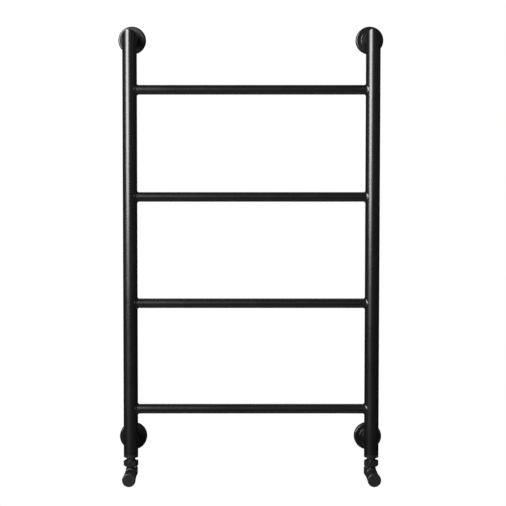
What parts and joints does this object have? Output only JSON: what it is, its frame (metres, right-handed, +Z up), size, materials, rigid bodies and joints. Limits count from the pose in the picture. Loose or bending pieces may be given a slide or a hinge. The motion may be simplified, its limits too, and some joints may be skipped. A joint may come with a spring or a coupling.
{
  "type": "towel warmer rack",
  "caption": "Wall-hung ladder towel warmer for a wet heating system: round uprights mitred back to the wall, round rails, wall rosettes and angle valves with turning knobs.",
  "frame": {"origin": "middle of the four wall screws, on the wall's face", "axes": "+Z up, -Y out of the wall towards the room, +X to the right for someone facing the rack"},
  "size_m": [0.558, 0.135, 0.9467],
  "materials": {
    "upright_left": "satin powder coat",
    "top_stub_left": "satin powder coat",
    "bottom_stub_left": "satin powder coat",
    "upright_right": "satin powder coat",
    "top_stub_right": "satin powder coat",
    "bottom_stub_right": "satin powder coat",
    "rail_1": "satin powder coat",
    "rail_2": "satin powder coat",
    "rail_3": "satin powder coat",
    "rail_4": "satin powder coat",
    "rail_welds": "satin powder coat",
    "end_boss_left": "satin powder coat",
    "end_boss_right": "satin powder coat",
    "socket_plugs": "turned, zinc plated",
    "wall_spigot_top_left": "turned, zinc plated",
    "rosette_top_left": "satin powder coat",
    "wall_spigot_top_right": "turned, zinc plated",
    "rosette_top_right": "satin powder coat",
    "wall_spigot_bottom_left": "turned, zinc plated",
    "rosette_bottom_left": "satin powder coat",
    "wall_spigot_bottom_right": "turned, zinc plated",
    "rosette_bottom_right": "satin powder coat",
    "grub_screws": "black oxide",
    "rosette_o_rings": "matt",
    "vent_boss": "satin powder coat",
    "vent_plug": "nickel plated",
    "vent_o_ring": "matt",
    "bleed_screw": "turned",
    "tail_o_rings": "matt",
    "tailpiece_left": "satin powder coat",
    "union_nut_left": "satin powder coat",
    "union_gasket_left": "matt",
    "valve_body_left": "satin powder coat",
    "compression_nut_left": "satin powder coat",
    "olive_left": "turned",
    "bonnet_left": "satin powder coat",
    "bonnet_o_ring_left": "matt",
    "gland_o_ring_left": "matt",
    "spindle_left": "turned",
    "jumper_left": "turned",
    "seat_washer_left": "matt",
    "knob_left": "satin powder coat",
    "knob_grub_screw_left": "turned, zinc plated",
    "tailpiece_right": "satin powder coat",
    "union_nut_right": "satin powder coat",
    "union_gasket_right": "matt",
    "valve_body_right": "satin powder coat",
    "compression_nut_right": "satin powder coat",
    "olive_right": "turned",
    "bonnet_right": "satin powder coat",
    "bonnet_o_ring_right": "matt",
    "gland_o_ring_right": "matt",
    "spindle_right": "turned",
    "jumper_right": "turned",
    "seat_washer_right": "matt",
    "knob_right": "satin powder coat",
    "knob_grub_screw_right": "turned, zinc plated"
  },
  "bodies": {
    "rack": {"upright_left": "upright_left", "top_stub_left": "top_stub_left", "bottom_stub_left": "bottom_stub_left", "upright_right": "upright_right", "top_stub_right": "top_stub_right", "bottom_stub_right": "bottom_stub_right", "rail_1": "rail_1", "rail_2": "rail_2", "rail_3": "rail_3", "rail_4": "rail_4", "rail_welds": "rail_welds", "end_boss_left": "end_boss_left", "end_boss_right": "end_boss_right", "socket_plugs": "socket_plugs", "wall_spigot_top_left": "wall_spigot_top_left", "rosette_top_left": "rosette_top_left", "wall_spigot_top_right": "wall_spigot_top_right", "rosette_top_right": "rosette_top_right", "wall_spigot_bottom_left": "wall_spigot_bottom_left", "rosette_bottom_left": "rosette_bottom_left", "wall_spigot_bottom_right": "wall_spigot_bottom_right", "rosette_bottom_right": "rosette_bottom_right", "grub_screws": "grub_screws", "rosette_o_rings": "rosette_o_rings", "vent_boss": "vent_boss", "vent_plug": "vent_plug", "vent_o_ring": "vent_o_ring", "tail_o_rings": "tail_o_rings", "tailpiece_left": "tailpiece_left", "union_nut_left": "union_nut_left", "union_gasket_left": "union_gasket_left", "valve_body_left": "valve_body_left", "compression_nut_left": "compression_nut_left", "olive_left": "olive_left", "bonnet_left": "bonnet_left", "bonnet_o_ring_left": "bonnet_o_ring_left", "gland_o_ring_left": "gland_o_ring_left", "tailpiece_right": "tailpiece_right", "union_nut_right": "union_nut_right", "union_gasket_right": "union_gasket_right", "valve_body_right": "valve_body_right", "compression_nut_right": "compression_nut_right", "olive_right": "olive_right", "bonnet_right": "bonnet_right", "bonnet_o_ring_right": "bonnet_o_ring_right", "gland_o_ring_right": "gland_o_ring_right"},
    "valve_jumper_left": {"jumper_left": "jumper_left", "seat_washer_left": "seat_washer_left"},
    "valve_knob_left": {"spindle_left": "spindle_left", "knob_left": "knob_left", "knob_grub_screw_left": "knob_grub_screw_left"},
    "valve_jumper_right": {"jumper_right": "jumper_right", "seat_washer_right": "seat_washer_right"},
    "valve_knob_right": {"spindle_right": "spindle_right", "knob_right": "knob_right", "knob_grub_screw_right": "knob_grub_screw_right"},
    "bleed": {"bleed_screw": "bleed_screw"}
  },
  "joints": [
    {"name": "jumper_lift_left", "type": "slide", "parent": "rack", "child": "valve_jumper_left", "axis": [0, -1, 0], "range_m": [0, 0.004]},
    {"name": "knob_turn_left", "type": "hinge", "parent": "valve_jumper_left", "child": "valve_knob_left", "pos_m": [-0.25, -0.075, -0.4838], "axis": [0, -1, 0], "range_deg": [0, 720]},
    {"name": "jumper_lift_right", "type": "slide", "parent": "rack", "child": "valve_jumper_right", "axis": [0, -1, 0], "range_m": [0, 0.004]},
    {"name": "knob_turn_right", "type": "hinge", "parent": "valve_jumper_right", "child": "valve_knob_right", "pos_m": [0.25, -0.075, -0.4838], "axis": [0, -1, 0], "range_deg": [0, 720]},
    {"name": "bleed_turn", "type": "hinge", "parent": "rack", "child": "bleed", "pos_m": [0.25, -0.075, 0.391], "axis": [0, 1, 0], "range_deg": [0, 360]}
  ],
  "couplings": [
    {"joint": "jumper_lift_left", "follows": "knob_turn_left", "m_per_rad": 0.00031831},
    {"joint": "jumper_lift_right", "follows": "knob_turn_right", "m_per_rad": 0.00031831}
  ]
}
